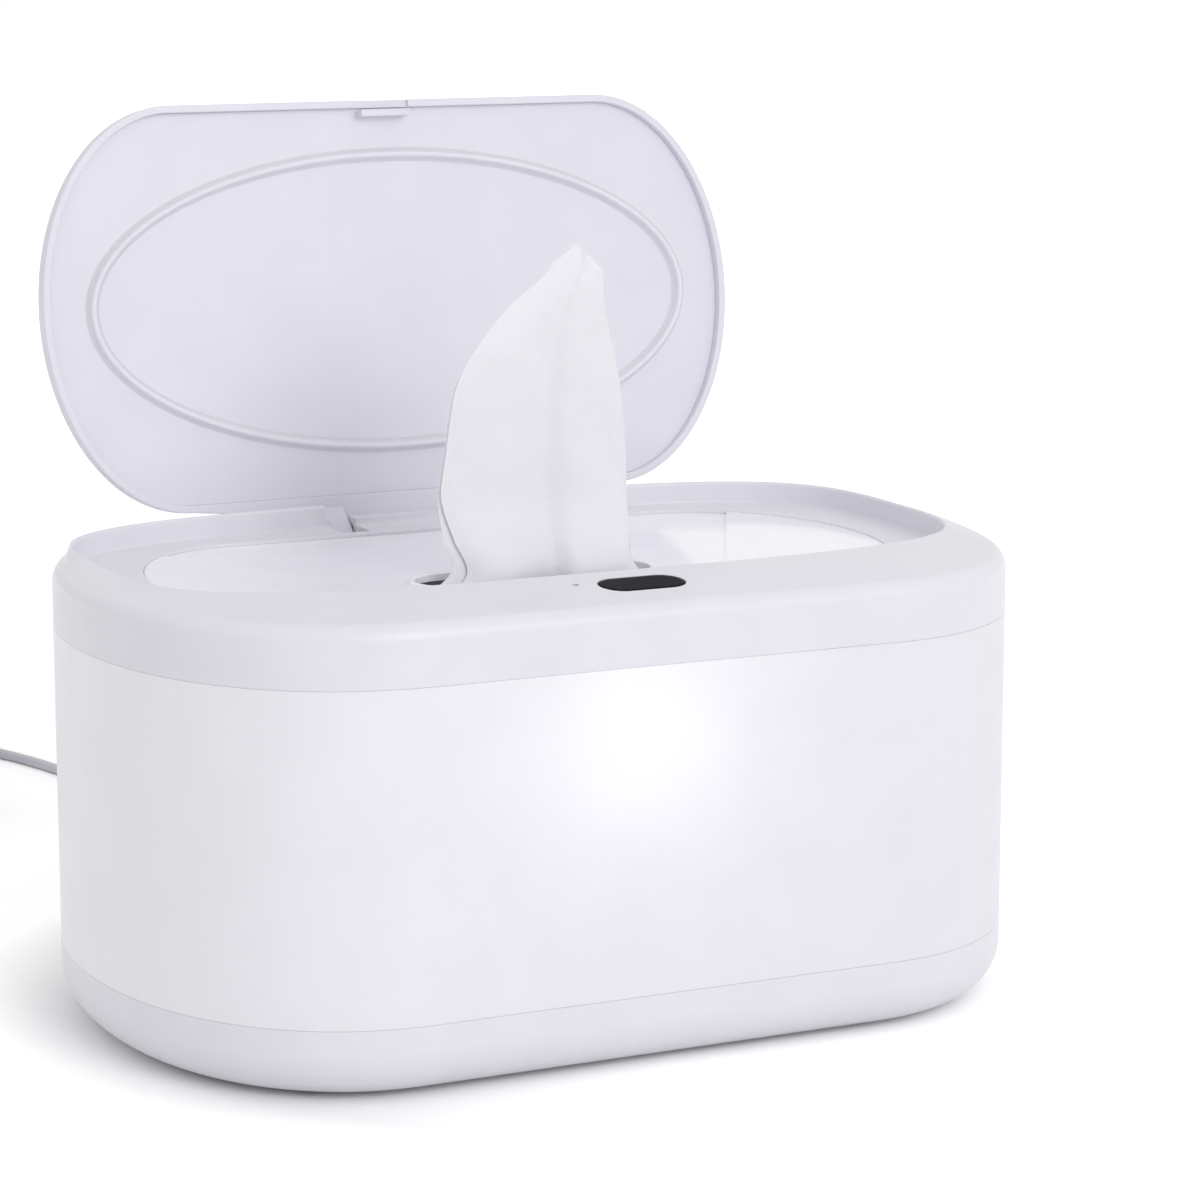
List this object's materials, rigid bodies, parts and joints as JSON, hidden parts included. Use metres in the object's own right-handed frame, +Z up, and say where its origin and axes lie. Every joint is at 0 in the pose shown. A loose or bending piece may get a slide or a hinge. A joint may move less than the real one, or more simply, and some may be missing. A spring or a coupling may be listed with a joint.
{
  "type": "baby wipe warmer",
  "caption": "Rounded tabletop wipe warmer with a hinged lid, a heated inner tank under a dispensing plate, a light band and a low-voltage lead with a wall adapter.",
  "frame": {"origin": "on the table, at the middle of the open warmer's box, leaving out the lead and its adapter", "axes": "+X along the length, +Y to the back where the hinge is, +Z up"},
  "size_m": [0.24, 0.432, 0.2217],
  "materials": {
    "shell": "satin white moulded plastic with a faint lavender cast",
    "band": "satin translucent white plastic light band",
    "tray": "glossy, slightly milky white plastic",
    "tank": "smooth white moulded plastic",
    "foot_rubber": "soft grey rubber",
    "steel": "plain zinc-plated steel",
    "aluminium": "rolled aluminium sheet",
    "film": "amber heater film",
    "foam": "grey insulating foam",
    "board": "green circuit board",
    "led": "warm white light-emitting diodes",
    "black_plastic": "black moulded plastic",
    "window": "glossy black display window",
    "wipe": "moist white nonwoven wipe with a fine fibre texture",
    "seal": "milky silicone seal",
    "lead": "smooth white flexible vinyl",
    "tie": "white plastic tie",
    "adapter": "finely textured white plastic",
    "prong": "nickel-plated blades"
  },
  "bodies": {
    "root": {"base_tub": "shell", "rubber_foot_1": "foot_rubber", "rubber_foot_2": "foot_rubber", "rubber_foot_3": "foot_rubber", "rubber_foot_4": "foot_rubber", "case_screw_1": "steel", "case_screw_2": "steel", "case_screw_3": "steel", "case_screw_4": "steel", "light_band": "band", "top_ring": "shell", "inner_tank": "tank", "heater_plate": "aluminium", "heater_film": "film", "insulation_pad": "foam", "thermostat": "steel", "thermal_fuse": "steel", "main_board": "board", "board_screw_1": "steel", "board_screw_2": "steel", "night_light_board": "board", "night_light_led": "led", "display_board": "board", "display_screw_1": "steel", "display_screw_2": "steel", "display_module": "black_plastic", "display_window": "window", "indicator_lens": "black_plastic", "dc_jack": "black_plastic", "dispensing_plate": "tray", "hinge_rod": "steel", "wipe_stack": "wipe", "wipe_sheet": "wipe", "dc_plug": "lead", "plug_relief": "lead", "cord_run": "lead", "cord_coil": "lead", "cord_tie": "tie", "adapter_body": "adapter", "adapter_relief": "lead", "adapter_prong_1": "prong", "adapter_prong_2": "prong"},
    "lid": {"lid_shell": "shell", "lid_liner": "shell", "lid_seal": "seal", "lid_latch": "shell"}
  },
  "joints": [
    {"name": "lid_hinge", "type": "hinge", "parent": "root", "child": "lid", "pos_m": [0, 0.06138, 0.1054], "axis": [1, 0, 0], "range_deg": [0, 97.9], "deforming": ["wipe_sheet"]}
  ]
}
